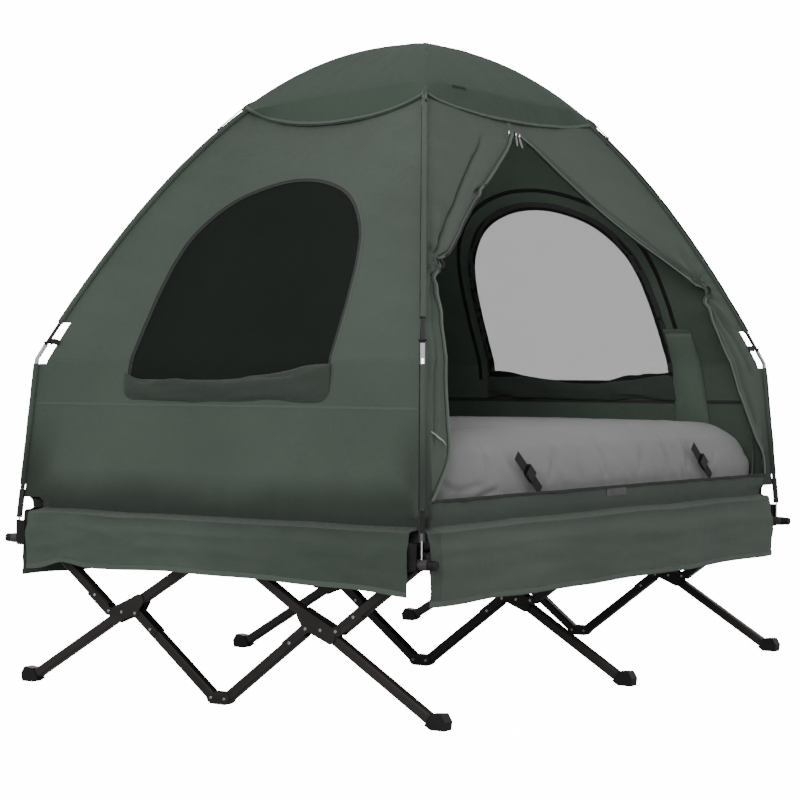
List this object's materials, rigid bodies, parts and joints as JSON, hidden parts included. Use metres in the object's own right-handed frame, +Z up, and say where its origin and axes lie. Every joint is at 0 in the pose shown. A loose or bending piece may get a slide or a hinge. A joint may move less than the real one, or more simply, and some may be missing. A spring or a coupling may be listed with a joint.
{
  "type": "tent cot",
  "caption": "Folding camp bed on crossed leg frames, with a mattress and a dome tent over it, its door tied open.",
  "frame": {"origin": "bottom centre of the whole object, on the ground, midway between the legs", "axes": "+X along the bed, +Z up, and the door side faces -Y"},
  "size_m": [1.956, 1.39, 1.7795],
  "materials": {
    "frame": "satin brown-black powder coat",
    "black_plastic": "moulded, matte",
    "pole": "black fibreglass with steel ends",
    "canopy": "woven grey-green tent cloth",
    "mesh": "fine insect net",
    "bed": "stretched bed cloth",
    "mattress": "flocked grey cover"
  },
  "bodies": {
    "base": {"bottom_bracket_front": "frame", "bottom_bracket_middle": "frame", "bottom_bracket_rear": "frame"},
    "inner_left": {"inner_leg_front_left": "frame", "inner_leg_middle_left": "frame", "inner_leg_rear_left": "frame"},
    "outer_left": {"outer_leg_front_left": "frame", "outer_leg_middle_left": "frame", "outer_leg_rear_left": "frame", "hub_front_left": "frame", "hub_middle_left": "frame", "hub_rear_left": "frame", "foot_cap_front_left": "black_plastic", "foot_cap_middle_left": "black_plastic", "foot_cap_rear_left": "black_plastic"},
    "upper_left": {"upper_leg_front_left": "frame", "upper_leg_middle_left": "frame", "upper_leg_rear_left": "frame"},
    "rail_left": {"side_rail_left": "frame", "corner_fitting_front_left": "black_plastic", "corner_fitting_rear_left": "black_plastic"},
    "inner_right": {"inner_leg_front_right": "frame", "inner_leg_middle_right": "frame", "inner_leg_rear_right": "frame"},
    "outer_right": {"outer_leg_front_right": "frame", "outer_leg_middle_right": "frame", "outer_leg_rear_right": "frame", "hub_front_right": "frame", "hub_middle_right": "frame", "hub_rear_right": "frame", "foot_cap_front_right": "black_plastic", "foot_cap_middle_right": "black_plastic", "foot_cap_rear_right": "black_plastic"},
    "upper_right": {"upper_leg_front_right": "frame", "upper_leg_middle_right": "frame", "upper_leg_rear_right": "frame"},
    "rail_right": {"side_rail_right": "frame", "corner_fitting_front_right": "black_plastic", "corner_fitting_rear_right": "black_plastic"},
    "bed": {"centre_rail": "frame", "bed_sheet": "bed"},
    "tent": {"canopy": "canopy", "roof_fly": "canopy", "window_front": "mesh", "window_rear": "mesh", "mattress": "mattress", "pole_over": "pole", "pole_under": "pole", "apex_cap": "black_plastic", "end_bar_front": "frame", "end_bar_rear": "frame", "end_cap_front_left": "black_plastic", "end_cap_front_right": "black_plastic", "end_cap_rear_left": "black_plastic", "end_cap_rear_right": "black_plastic", "buckle_housing_left": "black_plastic", "buckle_housing_right": "black_plastic"},
    "plug_left": {"buckle_plug_left": "black_plastic"},
    "plug_right": {"buckle_plug_right": "black_plastic"}
  },
  "joints": [
    {"name": "fold", "type": "hinge", "parent": "base", "child": "inner_left", "pos_m": [0, 0.0215, 0.0155], "axis": [1, 0, 0], "range_deg": [0, 42], "deforming": ["bed_sheet"]},
    {"name": "inner_right_fold", "type": "hinge", "parent": "base", "child": "inner_right", "pos_m": [0, -0.0215, 0.0155], "axis": [-1, 0, 0], "range_deg": [0, 42]},
    {"name": "outer_left_fold", "type": "hinge", "parent": "inner_left", "child": "outer_left", "pos_m": [0, 0.278, 0.2105], "axis": [-1, 0, 0], "range_deg": [0, 87.1]},
    {"name": "upper_left_fold", "type": "hinge", "parent": "outer_left", "child": "upper_left", "pos_m": [0, 0.37, 0.2105], "axis": [1, 0, 0], "range_deg": [0, 87.1]},
    {"name": "rail_left_level", "type": "hinge", "parent": "upper_left", "child": "rail_left", "pos_m": [0, 0.6, 0.3815], "axis": [-1, 0, 0], "range_deg": [0, 42]},
    {"name": "outer_right_fold", "type": "hinge", "parent": "inner_right", "child": "outer_right", "pos_m": [0, -0.278, 0.2105], "axis": [1, 0, 0], "range_deg": [0, 87.1]},
    {"name": "upper_right_fold", "type": "hinge", "parent": "outer_right", "child": "upper_right", "pos_m": [0, -0.37, 0.2105], "axis": [-1, 0, 0], "range_deg": [0, 87.1]},
    {"name": "rail_right_level", "type": "hinge", "parent": "upper_right", "child": "rail_right", "pos_m": [0, -0.6, 0.3815], "axis": [1, 0, 0], "range_deg": [0, 42]},
    {"name": "bed_level", "type": "hinge", "parent": "outer_left", "child": "bed", "pos_m": [0, 0.03, 0.386], "axis": [1, 0, 0], "range_deg": [0, 45.1]},
    {"name": "tent_lift", "type": "slide", "parent": "bed", "child": "tent", "axis": [0, 0, 1], "range_m": [0, 0.08]},
    {"name": "plug_left_slide", "type": "slide", "parent": "tent", "child": "plug_left", "axis": [0.7826, 0, -0.6225], "range_m": [0, 0.02]},
    {"name": "plug_right_slide", "type": "slide", "parent": "tent", "child": "plug_right", "axis": [0.7826, 0, -0.6225], "range_m": [0, 0.02]}
  ],
  "couplings": [
    {"joint": "inner_right_fold", "follows": "fold", "ratio": 1},
    {"joint": "outer_left_fold", "follows": "fold", "ratio": 2.0734},
    {"joint": "upper_left_fold", "follows": "fold", "ratio": 2.0734},
    {"joint": "rail_left_level", "follows": "fold", "ratio": 1},
    {"joint": "outer_right_fold", "follows": "fold", "ratio": 2.0734},
    {"joint": "upper_right_fold", "follows": "fold", "ratio": 2.0734},
    {"joint": "rail_right_level", "follows": "fold", "ratio": 1},
    {"joint": "bed_level", "follows": "fold", "ratio": 1.0734}
  ]
}
